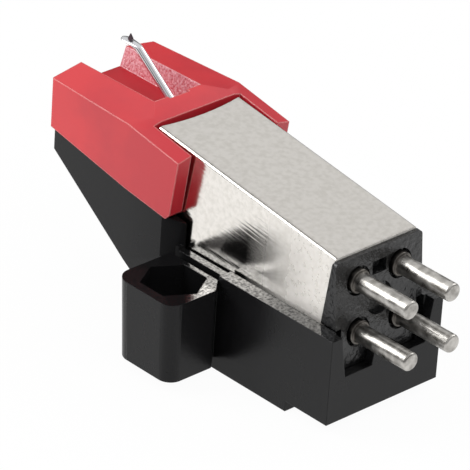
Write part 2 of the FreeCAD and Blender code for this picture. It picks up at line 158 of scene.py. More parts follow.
# Moulded ABS, spark-eroded skin: near black, so what the eye sees is a soft white sheen
# broken up by the grain. The real grain is finer, and is drawn as coarse as it needs to show.
def moulded_abs(name, specular, grain_mm, depth_mm, roughness, shaded_front_sheen=None):
    material, tree = empty_material(name)
    place = add(tree, "TexCoord").outputs["Object"]
    grain = add(tree, "TexNoise", {"Vector": place, "Scale": per_mm(grain_mm), "Detail": 2.0})
    cloud = add(tree, "TexNoise", {"Vector": place, "Scale": per_mm(ABS_CLOUD_MM), "Detail": 3.0})
    gloss = add(tree, "MapRange", {
        "Value": cloud.outputs[0],
        "To Min": roughness - ABS_CLOUD_GLOSS, "To Max": roughness + ABS_CLOUD_GLOSS,
    })
    edges = add(tree, "Bevel", {"Radius": BODY_EDGE_MM * MM})
    bump = add(tree, "Bump", {
        "Height": grain.outputs[0], "Strength": ABS_GRAIN_STRENGTH, "Distance": depth_mm * MM,
        "Normal": edges.outputs[0],
    })
    shader = add(tree, "BsdfPrincipled", {
        "Base Color": linear(ABS_BLACK),
        "Roughness": gloss.outputs[0],
        "IOR": ABS_IOR,
        "Specular IOR Level": specular,
        "Normal": bump.outputs[0],
    })
    # Painted shade: the sheen fades out towards the outer front of the ears.
    if shaded_front_sheen is not None:
        at = add(tree, "SeparateXYZ", {"Vector": place})
        outward = add(tree, "Math", {0: at.outputs["X"]}, operation="ABSOLUTE")
        reach = add(tree, "Math", {
            0: at.outputs["Y"], 1: SHADED_FRONT_SLANT, 2: outward.outputs[0],
        }, operation="MULTIPLY_ADD")
        level = add(tree, "MapRange", {
            "Value": reach.outputs[0], "From Min": SHADED_FRONT_FROM_MM * MM, "From Max": SHADED_FRONT_TO_MM * MM,
            "To Min": specular, "To Max": shaded_front_sheen,
        })
        ledge = add(tree, "MapRange", {
            "Value": outward.outputs[0],
            "From Min": (LEDGE_HALF_MM - LEDGE_BLEND_MM) * MM,
            "From Max": (LEDGE_HALF_MM + LEDGE_BLEND_MM) * MM,
            "To Min": LEDGE_SHARE, "To Max": 1.0,
        })
        facets = add(tree, "MapRange", {
            "Value": grain.outputs[0], "From Min": FACET_FROM, "From Max": FACET_TO,
            "To Min": FACET_DARK, "To Max": FACET_BRIGHT,
        })
        share = add(tree, "Math", {0: level.outputs[0], 1: ledge.outputs[0]}, operation="MULTIPLY")
        sparkle = add(tree, "Math", {0: share.outputs[0], 1: facets.outputs[0]}, operation="MULTIPLY")
        tree.links.new(sparkle.outputs[0], shader.inputs["Specular IOR Level"])
    add(tree, "OutputMaterial", {"Surface": shader.outputs[0]})
    return material


black_abs = moulded_abs(
    "moulded_black_abs", specular=0.2,
    grain_mm=ABS_GRAIN_MM, depth_mm=ABS_GRAIN_DEPTH_MM, roughness=ABS_SATIN)
# Almost no sheen, so that the cheeks behind the nose show dark.
dull_abs = moulded_abs(
    "dull_black_abs", specular=0.03,
    grain_mm=ABS_GRAIN_MM, depth_mm=ABS_GRAIN_DEPTH_MM, roughness=ABS_SATIN)
grained_abs = moulded_abs(
    "spark_grained_black_abs", specular=0.95, shaded_front_sheen=0.02,
    grain_mm=ABS_SPARK_MM, depth_mm=ABS_SPARK_DEPTH_MM, roughness=ABS_SPARK_GLOSS)
body = rounded_copy("body_shell", "body_moulding", BODY_EDGE_MM, [black_abs, dull_abs, grained_abs])
for wall in body.data.polygons:
    centre = wall.center / MM
    beside_nose = CHEEK_FROM_MM < centre.y < CHEEK_TO_MM and centre.z > CHEEK_BASE_MM
    if beside_nose and abs(wall.normal.x) > CHEEK_SIDEWAYS:
        wall.material_index = 1
    elif wall.normal.z > TOPS_UPWARD and TOPS_FROM_MM < centre.z < TOPS_TO_MM:
        wall.material_index = 2
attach(body, "cartridge")
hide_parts("body_shell")

# Terminal block: the coil carrier and rear plate, one moulding in glass-filled black plastic.
# It is glued into the tray, and its leaning rear plate holds the pins in counterbored seats.
BLOCK_EDGE_MM = 0.04
BLOCK_BLACK = "#121213"
BLOCK_IOR = 1.55
BLOCK_SPECULAR = 0.52
FIBRE_MM = 0.3
FIBRE_DEPTH_MM = 0.11
FIBRE_STRENGTH = 0.8
FIBRE_GLOSSY = 0.1
FIBRE_MATT = 0.34


# Moulded glass-filled plastic: black and uneven, with flow marks that catch the light in places.
def filled_plastic():
    material, tree = empty_material("moulded_filled_plastic")
    place = add(tree, "TexCoord").outputs["Object"]
    fibres = add(tree, "TexNoise", {"Vector": place, "Scale": per_mm(FIBRE_MM), "Detail": 4.0})
    gloss = add(tree, "MapRange", {"Value": fibres.outputs[0], "To Min": FIBRE_GLOSSY, "To Max": FIBRE_MATT})
    bump = add(tree, "Bump", {
        "Height": fibres.outputs[0], "Strength": FIBRE_STRENGTH, "Distance": FIBRE_DEPTH_MM * MM,
    })
    shader = add(tree, "BsdfPrincipled", {
        "Base Color": linear(BLOCK_BLACK),
        "Roughness": gloss.outputs[0],
        "IOR": BLOCK_IOR,
        "Specular IOR Level": BLOCK_SPECULAR,
        "Normal": bump.outputs[0],
    })
    add(tree, "OutputMaterial", {"Surface": shader.outputs[0]})
    return material


block = rounded_copy("terminal_block", "terminal_plate", BLOCK_EDGE_MM, [filled_plastic()], steps=2)
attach(block, "cartridge")
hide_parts("terminal_block")

# Terminal pins: turned brass with bright tin plating, pressed into the rear plate up to a collar.
# The plating is thick and a little uneven, the ends are rounded, and the collars and pin roots are a darker
# tin.
PIN_R = 0.56
PIN_TAIL_R = 0.34
PIN_TAIL = 2.2
PIN_COLLAR_R = 0.74
PIN_COLLAR = 0.5
PIN_COLLAR_ROUND = 0.08
PIN_FILLET = 0.04
PIN_END_R = 0.15
PIN_LUMP_MM = 0.5
PIN_LUMP_DEPTH_MM = 0.05
PIN_LUMP_STRENGTH = 0.5
PIN_LUMP_LOW = 0.35
PIN_LUMP_HIGH = 0.65
PIN_SCRATCH_MM = 0.05
PIN_SCRATCH_DEPTH_MM = 0.005
PIN_SCRATCH_STRETCH = 8.0
PIN_SCRATCH_STRENGTH = 0.15
TIN_GLOSSY = 0.16
TIN_MATT = 0.5
TIN_COLOUR = "#cecbc6"
TIN_DULL = "#9c9994"
ROOT_TIN_COLOUR = "#6f6b66"
ROOT_TIN_DULL = "#4a4744"
ROOT_TIN_PAST_COLLAR = 0.05


def turned(name, base, axis, profile, materials, around=72):
    """A turned piece: rings of (distance along the axis, radius) in millimetres, closed at both ends."""
    axis = Vector(axis).normalized()
    side = axis.orthogonal().normalized()
    other = axis.cross(side)
    rings = []
    for distance, radius in profile:
        ring = []
        for i in range(around):
            turn = 2 * math.pi * i / around
            reach = side * (radius * math.cos(turn)) + other * (radius * math.sin(turn))
            ring.append(base + axis * distance + reach)
        rings.append(ring)
    return lofted(name, rings, materials)


def lofted(name, rings, materials):
    """A closed skin over rings of points that all have the same count, in millimetres."""
    around = len(rings[0])
    points = [point * MM for ring in rings for point in ring]
    faces = [tuple(reversed(range(around)))]
    for k in range(len(rings) - 1):
        for i in range(around):
            j = (i + 1) % around
            faces.append((k * around + i, k * around + j, (k + 1) * around + j, (k + 1) * around + i))
    last = (len(rings) - 1) * around
    faces.append(tuple(range(last, last + around)))
    mesh = bpy.data.meshes.new(name)
    mesh.from_pydata(points, [], faces)
    return finished(name, mesh, materials)


def quarter_round(start, radius, r, steps=5):
    """Profile points of a rounded end that closes from the full radius."""
    points = []
    for i in range(steps + 1):
        turn = math.pi / 2 * i / steps
        points.append((start + r * math.sin(turn), radius - r + r * math.cos(turn)))
    return points


# Bright tin plating: a white metal whose reflections waver along the pin, over fine turning marks.
# The marks are drawn coarser than the real ones so that they show.
def tin_plating(name, dull, full):
    material, tree = empty_material(name)
    place = add(tree, "TexCoord").outputs["Object"]
    lumps = add(tree, "TexNoise", {"Vector": place, "Scale": per_mm(PIN_LUMP_MM), "Detail": 3.0})
    tint = add(tree, "ValToRGB", {"Fac": lumps.outputs[0]})
    tint.color_ramp.elements[0].color = linear(dull)
    tint.color_ramp.elements[0].position = PIN_LUMP_LOW
    tint.color_ramp.elements[1].color = linear(full)
    tint.color_ramp.elements[1].position = PIN_LUMP_HIGH
    lines = add(tree, "Mapping", {"Vector": place, "Scale": (1.0, PIN_SCRATCH_STRETCH, 1.0)})
    scratches = add(tree, "TexNoise", {
        "Vector": lines.outputs[0], "Scale": per_mm(PIN_SCRATCH_MM * PIN_SCRATCH_STRETCH),
    })
    gloss = add(tree, "MapRange", {"Value": lumps.outputs[0], "To Min": TIN_GLOSSY, "To Max": TIN_MATT})
    wavy = add(tree, "Bump", {
        "Height": lumps.outputs[0], "Strength": PIN_LUMP_STRENGTH, "Distance": PIN_LUMP_DEPTH_MM * MM,
    })
    bump = add(tree, "Bump", {
        "Height": scratches.outputs[0], "Strength": PIN_SCRATCH_STRENGTH,
        "Distance": PIN_SCRATCH_DEPTH_MM * MM, "Normal": wavy.outputs[0],
    })
    shader = add(tree, "BsdfPrincipled", {
        "Base Color": tint.outputs[0],
        "Metallic": 1.0,
        "Roughness": gloss.outputs[0],
        "Normal": bump.outputs[0],
    })
    add(tree, "OutputMaterial", {"Surface": shader.outputs[0]})
    return material


tin = tin_plating("bright_tin_plating", TIN_DULL, TIN_COLOUR)
root_tin = tin_plating("darker_root_tin", ROOT_TIN_DULL, ROOT_TIN_COLOUR)
for node in ("pin_right_signal", "pin_right_ground", "pin_left_signal", "pin_left_ground"):
    low, high = (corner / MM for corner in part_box(node))
    length = high.y - low.y
    face = PIN_TAIL + PIN_COLLAR
    profile = [(0, PIN_TAIL_R), (PIN_TAIL, PIN_TAIL_R), (PIN_TAIL, PIN_COLLAR_R)]
    profile += quarter_round(face - PIN_COLLAR_ROUND, PIN_COLLAR_R, PIN_COLLAR_ROUND)
    profile += [(face, PIN_R + PIN_FILLET), (face + PIN_FILLET, PIN_R)]
    profile += quarter_round(length - PIN_END_R, PIN_R, PIN_END_R)
    base = Vector(((low.x + high.x) / 2, low.y, (low.z + high.z) / 2))
    pin = turned(node.replace("pin_", "terminal_"), base, (0, 1, 0), profile, [tin, root_tin])
    # The collars and the pin roots take the darker tin.
    for side in pin.data.polygons:
        if side.center.y / MM < low.y + face + ROOT_TIN_PAST_COLLAR:
            side.material_index = 1
    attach(pin, "cartridge")
    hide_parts(node)

# Coil parts: two soft-iron cores, each in a nylon bobbin wound with enamelled copper wire.
# They sit side by side on the terminal block, hidden under the shield.
CORE_COLOUR = "#8c8d90"
BOBBIN_COLOUR = "#d9d4c6"
COPPER_COLOUR = "#b5622e"
LAMINATION_MM = 0.12
LAMINATION_LAY = (1, 0.05, 4)
NYLON_GRAIN_MM = 0.2
TURN_MM = 0.06
TURN_LAY = (0.05, 1, 0.05)
SHADE_LOW = 0.75
SHADE_HIGH = 1.15
PLAIN_STRENGTH = 0.3


# A plain finish: one colour that varies softly over a grain of real size, with a matching bump.
# The copper's turns are drawn coarser than the hair-thin wire so that they show.
def plain_finish(name, colour, metallic, roughness, grain_mm, depth_mm, lay=(1, 1, 1)):
    material, tree = empty_material(name)
    place = add(tree, "TexCoord").outputs["Object"]
    lines = add(tree, "Mapping", {"Vector": place, "Scale": lay})
    grain = add(tree, "TexNoise", {"Vector": lines.outputs[0], "Scale": per_mm(grain_mm), "Detail": 3.0})
    tint = add(tree, "ValToRGB", {"Fac": grain.outputs[0]})
    shade = linear(colour)
    tint.color_ramp.elements[0].color = tuple(SHADE_LOW * c for c in shade[:3]) + (1.0,)
    tint.color_ramp.elements[1].color = tuple(min(1.0, SHADE_HIGH * c) for c in shade[:3]) + (1.0,)
    bump = add(tree, "Bump", {
        "Height": grain.outputs[0], "Strength": PLAIN_STRENGTH, "Distance": depth_mm * MM,
    })
    shader = add(tree, "BsdfPrincipled", {
        "Base Color": tint.outputs[0],
        "Metallic": metallic,
        "Roughness": roughness,
        "Normal": bump.outputs[0],
    })
    add(tree, "OutputMaterial", {"Surface": shader.outputs[0]})
    return material


def dress(node, material):
    """Gives a CAD solid that shows as it is its finish."""
    slots = frame["nodes"][node].data.materials
    slots.clear()
    slots.append(material)


soft_iron = plain_finish(
    "laminated_soft_iron", CORE_COLOUR, metallic=1.0, roughness=0.42,
    grain_mm=LAMINATION_MM, depth_mm=0.01, lay=LAMINATION_LAY)
nylon = plain_finish(
    "moulded_natural_nylon", BOBBIN_COLOUR, metallic=0.0, roughness=0.5,
    grain_mm=NYLON_GRAIN_MM, depth_mm=0.01)
copper = plain_finish(
    "enamelled_copper_wire", COPPER_COLOUR, metallic=0.8, roughness=0.3,
    grain_mm=TURN_MM, depth_mm=0.03, lay=TURN_LAY)
for channel in ("right", "left"):
    dress("core_" + channel, soft_iron)
    dress("bobbin_" + channel, nylon)
    dress("coil_" + channel, copper)

# Shield cover: one strip of nickel-plated sheet, folded over the coils and slipped into the tray.
# The sides are polished and mirror what is beside them, but are worn to a satin towards the rear.
# The top is a dull satin painted a darker grey, and the two bends between are darkened with painted shade.
SHEET_EDGE_MM = 0.04
CUT_EDGE_MM = 0.1
NICKEL_COLOUR = "#f2eee8"
NICKEL_DULL = "#e6e2db"
BEND_SHADE = 0.36
BEND_FROM_UP = 0.72
BEND_DARK_UP = (0.82, 0.93)
TOP_FROM_UP = 0.93
TOP_UP = 0.98
TOP_SHADE = 0.61
TOP_SHEEN = 0.05
METAL_SHEEN = 0.5
POLISHED = 0.11
POLISHED_UP = 0.5
TOP_SATIN = 0.28
TOP_SATIN_UP = 0.95
WORN_FROM_MM = 2.5
WORN_TO_MM = 6.0
WORN_ROUGHNESS = 0.25
WORN_METAL = -0.6
WORN_UP = 0.3
UNWORN_UP = 0.6
WORN_LINES = 0.3
STRIP_TILT_DEG = 7.65
DRAW_LINE_MM = 0.16
DRAW_DEPTH_MM = 0.009
DRAW_STRETCH = 30
PIT_MM = 0.35
PIT_ROUGHNESS = 0.06
PIT_LOW = 0.35
PIT_HIGH = 0.6


# Nickel plate on drawn sheet: a warm white metal with fine lines along the strip, drawn coarser than
# the real ones. How far a face looks up tells the polished sides, the bends and the satin top apart,
# and the bends and the top are darkened by painted shade. The top is shaded as a matt grey and not as metal,
# so that it keeps its tone from every side.
def nickel_sheet():
    material, tree = empty_material("nickel_plated_sheet")
    coords = add(tree, "TexCoord")
    place = coords.outputs["Object"]
    up = add(tree, "SeparateXYZ", {"Vector": coords.outputs["Normal"]}).outputs["Z"]
    along = add(tree, "SeparateXYZ", {"Vector": place}).outputs["Y"]
    lines = add(tree, "Mapping", {
        "Vector": place,
        "Rotation": (math.radians(-STRIP_TILT_DEG), 0, 0),
        "Scale": (1.0, DRAW_STRETCH, 1.0),
    }, vector_type="TEXTURE")
    drawn = add(tree, "TexNoise", {"Vector": lines.outputs[0], "Scale": per_mm(DRAW_LINE_MM), "Detail": 2.0})
    pits = add(tree, "TexNoise", {"Vector": place, "Scale": per_mm(PIT_MM), "Detail": 4.0})
    tint = add(tree, "ValToRGB", {"Fac": pits.outputs[0]})
    tint.color_ramp.elements[0].color = linear(NICKEL_DULL)
    tint.color_ramp.elements[0].position = PIT_LOW
    tint.color_ramp.elements[1].color = linear(NICKEL_COLOUR)
    tint.color_ramp.elements[1].position = PIT_HIGH
    # Painted shade: the bends and the satin top are darkened according to how far they face up.
    painted_facing_shade = add(tree, "ValToRGB", {"Fac": up})
    painted_facing_shade.color_ramp.elements[0].color = (1, 1, 1, 1)
    painted_facing_shade.color_ramp.elements[0].position = BEND_FROM_UP
    painted_facing_shade.color_ramp.elements[1].color = (TOP_SHADE, TOP_SHADE, TOP_SHADE, 1)
    painted_facing_shade.color_ramp.elements[1].position = TOP_UP
    for position in BEND_DARK_UP:
        painted_facing_shade.color_ramp.elements.new(position).color = (BEND_SHADE, BEND_SHADE, BEND_SHADE, 1)
    plated = add(tree, "Mix", {
        0: 1.0, 6: tint.outputs[0], 7: painted_facing_shade.outputs[0],
    }, data_type="RGBA", blend_type="MULTIPLY")
    rear = add(tree, "MapRange", {
        "Value": along, "From Min": WORN_FROM_MM * MM, "From Max": WORN_TO_MM * MM,
        "To Min": 0.0, "To Max": 1.0,
    })
    not_top = add(tree, "MapRange", {
        "Value": up, "From Min": TOP_FROM_UP, "From Max": TOP_UP, "To Min": 1.0, "To Max": 0.0,
    })
    lost = add(tree, "MapRange", {
        "Value": up, "From Min": WORN_UP, "From Max": UNWORN_UP, "To Min": WORN_METAL, "To Max": 0.0,
    })
    metal = add(tree, "Math", {
        0: rear.outputs[0], 1: lost.outputs[0], 2: not_top.outputs[0],
    }, operation="MULTIPLY_ADD")
    sheen = add(tree, "MapRange", {"Value": not_top.outputs[0], "To Min": TOP_SHEEN, "To Max": METAL_SHEEN})
    polish = add(tree, "MapRange", {
        "Value": up, "From Min": POLISHED_UP, "From Max": TOP_SATIN_UP,
        "To Min": POLISHED, "To Max": TOP_SATIN,
    })
    worn = add(tree, "Math", {0: rear.outputs[0], 1: WORN_ROUGHNESS}, operation="MULTIPLY")
    satin = add(tree, "Math", {0: polish.outputs[0], 1: worn.outputs[0]}, operation="MAXIMUM")
    gloss = add(tree, "Math", {
        0: pits.outputs[0], 1: PIT_ROUGHNESS, 2: satin.outputs[0],
    }, operation="MULTIPLY_ADD")
    edges = add(tree, "Bevel", {"Radius": CUT_EDGE_MM * MM})
    strength = add(tree, "MapRange", {"Value": rear.outputs[0], "To Min": 1.0, "To Max": WORN_LINES})
    bump = add(tree, "Bump", {
        "Height": drawn.outputs[0], "Strength": strength.outputs[0], "Distance": DRAW_DEPTH_MM * MM,
        "Normal": edges.outputs[0],
    })
    shader = add(tree, "BsdfPrincipled", {
        "Base Color": plated.outputs[2],
        "Metallic": metal.outputs[0],
        "Specular IOR Level": sheen.outputs[0],
        "Roughness": gloss.outputs[0],
        "Normal": bump.outputs[0],
    })
    add(tree, "OutputMaterial", {"Surface": shader.outputs[0]})
    return material


shield = rounded_copy("shield_cover", "folded_shield", SHEET_EDGE_MM, [nickel_sheet()])
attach(shield, "cartridge")
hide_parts("shield_cover")

# Stylus holder: a red saddle moulding with a hipped roof, which grips the front of the shield.
# It is polystyrene with a satin skin and edges made pale by a painted highlight. The notch floor is a darker
# red with less sheen, painted shade, and its walls keep the tool's coarse spark grain, speckled with painted
# glints.
RED_EDGE_MM = 0.13
RED_COLOUR = "#d23138"
RED_DEEP = "#c12c36"
RED_PALE = "#f29b99"
RED_RIM = 0.75
RIM_TURNED = 0.9
RIM_FLAT = 0.99
RED_IOR = 1.59
RED_SATIN = 0.24
RED_FADE = 0.3
RED_DEEP_AT = 0.3
RED_FULL_AT = 0.7
RED_FRONT_MM = -13.6
RED_REAR_MM = -4.0
RED_GRAIN_MM = 0.07
RED_GRAIN_DEPTH_MM = 0.004
RED_GRAIN_STRENGTH = 0.5
RED_CLOUD_MM = 3.0
NOTCH_SHADED_RED = "#b8242d"
NOTCH_SHADED_DEEP = "#ac1d27"
NOTCH_HALF_MM = 2.0
NOTCH_END_MM = -7.1
NOTCH_FACING = 0.8
SPARK_DEEP = "#c8404d"
SPARK_GLINT_PALE = "#f4b0b9"
SPARK_GRAIN_MM = 0.14
SPARK_DEPTH_MM = 0.1
SPARK_GLOSS = 0.26


# Moulded red polystyrene: a full red with a soft sheen, slightly deeper in places, with painted light and
# shade that make it fuller to the front and deeper to the rear, and a painted highlight that makes its
# rounded edges paler, for the light they catch and let through. The grain is drawn as coarse as it shows.
def moulded_red(name, deep, full, edge, cloud_mm, fade, grain_mm, depth_mm, roughness, specular):
    material, tree = empty_material(name)
    place = add(tree, "TexCoord").outputs["Object"]
    grain = add(tree, "TexNoise", {"Vector": place, "Scale": per_mm(grain_mm), "Detail": 2.0})
    cloud = add(tree, "TexNoise", {"Vector": place, "Scale": per_mm(cloud_mm), "Detail": 3.0})
    along = add(tree, "SeparateXYZ", {"Vector": place}).outputs["Y"]
    # Painted light and shade: fuller towards the front, deeper towards the rear.
    painted_front_light = add(tree, "MapRange", {
        "Value": along, "From Min": RED_REAR_MM * MM, "From Max": RED_FRONT_MM * MM,
        "To Min": -fade, "To Max": fade,
    })
    shade = add(tree, "Math", {0: cloud.outputs[0], 1: painted_front_light.outputs[0]}, operation="ADD")
    tint = add(tree, "ValToRGB", {"Fac": shade.outputs[0]})
    tint.color_ramp.elements[0].color = linear(deep)
    tint.color_ramp.elements[0].position = RED_DEEP_AT
    tint.color_ramp.elements[1].color = linear(full)
    tint.color_ramp.elements[1].position = RED_FULL_AT
    edges = add(tree, "Bevel", {"Radius": RED_EDGE_MM * MM})
    # Painted highlight: where the rounded edges turn away, the colour is mixed towards a paler one.
    flat = add(tree, "NewGeometry").outputs["True Normal"]
    turned_away = add(tree, "VectorMath", {0: edges.outputs[0], 1: flat}, operation="DOT_PRODUCT")
    painted_rim_light = add(tree, "MapRange", {
        "Value": turned_away.outputs["Value"], "From Min": RIM_TURNED, "From Max": RIM_FLAT,
        "To Min": RED_RIM, "To Max": 0.0,
    })
    skin = add(tree, "Mix", {0: painted_rim_light.outputs[0], 6: tint.outputs[0], 7: linear(edge)}, data_type="RGBA")
    bump = add(tree, "Bump", {
        "Height": grain.outputs[0], "Strength": RED_GRAIN_STRENGTH, "Distance": depth_mm * MM,
        "Normal": edges.outputs[0],
    })
    shader = add(tree, "BsdfPrincipled", {
        "Base Color": skin.outputs[2],
        "Roughness": roughness,
        "IOR": RED_IOR,
        "Specular IOR Level": specular,
        "Normal": bump.outputs[0],
    })
    add(tree, "OutputMaterial", {"Surface": shader.outputs[0]})
    return material


red = moulded_red(
    "moulded_red_polystyrene", RED_DEEP, RED_COLOUR, RED_PALE, cloud_mm=RED_CLOUD_MM, fade=RED_FADE,
    grain_mm=RED_GRAIN_MM, depth_mm=RED_GRAIN_DEPTH_MM, roughness=RED_SATIN, specular=0.42)
# Painted glints: the notch walls' grain is speckled with a pale pink for the light it catches.
red_spark = moulded_red(
    "spark_grained_red_polystyrene", SPARK_DEEP, SPARK_GLINT_PALE, SPARK_GLINT_PALE, cloud_mm=SPARK_GRAIN_MM, fade=0.0,
    grain_mm=SPARK_GRAIN_MM, depth_mm=SPARK_DEPTH_MM, roughness=SPARK_GLOSS, specular=0.9)
# Painted shade: the notch floor is a darker red with less sheen, for the shade that falls between the walls.
shaded_red_floor = moulded_red(
    "shaded_red_polystyrene", NOTCH_SHADED_DEEP, NOTCH_SHADED_RED, NOTCH_SHADED_RED, cloud_mm=RED_CLOUD_MM, fade=0.0,
    grain_mm=RED_GRAIN_MM, depth_mm=RED_GRAIN_DEPTH_MM, roughness=RED_SATIN, specular=0.1)
holder = rounded_copy("stylus_holder", "stylus_saddle", RED_EDGE_MM, [red, red_spark, shaded_red_floor])
for wall in holder.data.polygons:
    centre = wall.center / MM
    if abs(centre.x) < NOTCH_HALF_MM and centre.y < NOTCH_END_MM:
        if abs(wall.normal.x) > NOTCH_FACING and wall.normal.z > 0:
            wall.material_index = 1
        elif wall.normal.z > NOTCH_FACING:
            wall.material_index = 2
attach(holder, "stylus_unit")
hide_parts("stylus_holder")

# Sleeve, plug and tie wire: a drawn aluminium tube pressed into the holder, closed by a turned
# brass plug that holds the spring-steel wire behind the magnet.
SLEEVE_COLOUR = "#c6c7ca"
BRASS_COLOUR = "#b9924a"
STEEL_COLOUR = "#a9abae"
SLEEVE_LINE_MM = 0.05
SLEEVE_LAY = (1, 0.05, 1)
TURNING_MM = 0.08
WIRE_GRAIN_MM = 0.05
drawn_tube = plain_finish(
    "drawn_aluminium_tube", SLEEVE_COLOUR, metallic=1.0, roughness=0.3,
    grain_mm=SLEEVE_LINE_MM, depth_mm=0.004, lay=SLEEVE_LAY)
turned_brass = plain_finish(
    "turned_brass", BRASS_COLOUR, metallic=1.0, roughness=0.3, grain_mm=TURNING_MM, depth_mm=0.005)
spring_steel = plain_finish(
    "spring_steel_wire", STEEL_COLOUR, metallic=1.0, roughness=0.25, grain_mm=WIRE_GRAIN_MM, depth_mm=0.002)
dress("stylus_sleeve", drawn_tube)
dress("sleeve_plug", turned_brass)
dress("tie_wire", spring_steel)

# Damper and magnet: a moulded rubber ring that carries the cantilever, and the small
# sintered magnet on its rear end, with a hole that leaves room for the tie wire.
RUBBER_COLOUR = "#202021"
MAGNET_COLOUR = "#77787c"
RUBBER_GRAIN_MM = 0.08
SINTER_GRAIN_MM = 0.06
rubber = plain_finish(
    "moulded_butyl_rubber", RUBBER_COLOUR, metallic=0.0, roughness=0.6,
    grain_mm=RUBBER_GRAIN_MM, depth_mm=0.01)
sintered = plain_finish(
    "sintered_magnet", MAGNET_COLOUR, metallic=1.0, roughness=0.45,
    grain_mm=SINTER_GRAIN_MM, depth_mm=0.006)
dress("damper", rubber)
dress("magnet", sintered)

# Cantilever: a thin aluminium tube, drawn bright, which the damper holds at its foot.
# Its front end is pressed flat and level to take the tip.
TUBE_R = 0.25
TUBE_TAIL = 0.3
PADDLE_HALF = 0.34
PADDLE_THICK = 0.2
PRESSED_LENGTH = 0.4
BEND_STEPS = 16
ROUND_STEPS = 8
ROUND_END = 0.97
ROUND_FULLNESS = 0.3
CANTILEVER_DEG = 35.7
ALUMINIUM = "#e6e7ea"
TUBE_LINE_MM = 0.06
TUBE_LINE_DEPTH_MM = 0.004
TUBE_LINE_STRENGTH = 0.12
TUBE_GLOSSY = 0.12
TUBE_MATT = 0.22


# Bright drawn aluminium: a clean white metal with faint lines along the tube.
def drawn_aluminium():
    material, tree = empty_material("bright_drawn_aluminium")
    place = add(tree, "TexCoord").outputs["Object"]
    along_tube = add(tree, "Mapping", {
        "Vector": place,
        "Rotation": (math.radians(-CANTILEVER_DEG), 0, 0),
        "Scale": (1.0, DRAW_STRETCH, 1.0),
    }, vector_type="TEXTURE")
    lines = add(tree, "TexNoise", {
        "Vector": along_tube.outputs[0], "Scale": per_mm(TUBE_LINE_MM), "Detail": 2.0,
    })
    gloss = add(tree, "MapRange", {"Value": lines.outputs[0], "To Min": TUBE_GLOSSY, "To Max": TUBE_MATT})
    bump = add(tree, "Bump", {
        "Height": lines.outputs[0], "Strength": TUBE_LINE_STRENGTH, "Distance": TUBE_LINE_DEPTH_MM * MM,
    })
    shader = add(tree, "BsdfPrincipled", {
        "Base Color": linear(ALUMINIUM),
        "Metallic": 1.0,
        "Roughness": gloss.outputs[0],
        "Normal": bump.outputs[0],
    })
    add(tree, "OutputMaterial", {"Surface": shader.outputs[0]})
    return material


def cantilever_ring(centre, way, half_width, half_height, around=48):
    """A rounded section square to the tube's way at this point."""
    rise = Vector((1, 0, 0)).cross(way).normalized()
    ring = []
    for i in range(around):
        turn = 2 * math.pi * i / around
        across = Vector((half_width * math.cos(turn), 0, 0))
        ring.append(centre + across - rise * (half_height * math.sin(turn)))
    return ring


pivot = Vector(next(j for j in frame["joints"] if j["name"] == "cantilever_vertical")["pos_m"]) / MM
paddle_low, paddle_high = (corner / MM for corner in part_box("cantilever"))
lift = math.radians(CANTILEVER_DEG)
tube_way = Vector((0, -math.cos(lift), math.sin(lift)))
level_way = Vector((0, -1, 0))
paddle_z = paddle_high.z - PADDLE_THICK / 2
knee = pivot + tube_way * ((paddle_z - pivot.z) / math.sin(lift))
bend_start = knee - tube_way * PRESSED_LENGTH
bend_end = Vector((0, paddle_low.y + PADDLE_HALF, paddle_z))
sections = [cantilever_ring(pivot - tube_way * TUBE_TAIL, tube_way, TUBE_R, TUBE_R)]
for i in range(BEND_STEPS + 1):
    t = i / BEND_STEPS
    ease = t * t * (3 - 2 * t)
    centre = bend_start * (1 - t) ** 2 + knee * (2 * t * (1 - t)) + bend_end * t ** 2
    way = (tube_way * (1 - ease) + level_way * ease).normalized()
    half_width = TUBE_R + (PADDLE_HALF - TUBE_R) * ease
    half_height = TUBE_R + (PADDLE_THICK / 2 - TUBE_R) * ease
    sections.append(cantilever_ring(centre, way, half_width, half_height))
for i in range(1, ROUND_STEPS + 1):
    turn = math.pi / 2 * i / ROUND_STEPS * ROUND_END
    centre = bend_end + level_way * (PADDLE_HALF * math.sin(turn))
    half_width = PADDLE_HALF * math.cos(turn)
    half_height = PADDLE_THICK / 2 * math.cos(turn) ** ROUND_FULLNESS
    sections.append(cantilever_ring(centre, level_way, half_width, half_height))
cantilever = lofted("drawn_cantilever", sections, [drawn_aluminium()])
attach(cantilever, "needle")
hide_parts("cantilever")

# Stylus tip: a dark jewel, ground to a cone with a blunt point.
# Its shank is glued through the cantilever's flattened end, and its shoulder rests on it.
TIP_SHANK_R = 0.11
TIP_SHOULDER = 0.1
TIP_SHOULDER_R = 0.153
TIP_R = 0.17
TIP_POINT = 0.05
TIP_CONE_END_R = 0.044
TIP_POINT_R = 0.02
JEWEL_COLOUR = "#3a2630"
JEWEL_IOR = 1.77
GRINDING_MM = 0.05
JEWEL_GLOSSY = 0.12
JEWEL_MATT = 0.3


# Ground jewel: dark and glassy, with a faint purple cast.
def ground_jewel():
    material, tree = empty_material("ground_dark_jewel")
    place = add(tree, "TexCoord").outputs["Object"]
    grinding = add(tree, "TexNoise", {"Vector": place, "Scale": per_mm(GRINDING_MM), "Detail": 2.0})
    gloss = add(tree, "MapRange", {
        "Value": grinding.outputs[0], "To Min": JEWEL_GLOSSY, "To Max": JEWEL_MATT,
    })
    shader = add(tree, "BsdfPrincipled", {
        "Base Color": linear(JEWEL_COLOUR),
        "Roughness": gloss.outputs[0],
        "IOR": JEWEL_IOR,
    })
    add(tree, "OutputMaterial", {"Surface": shader.outputs[0]})
    return material


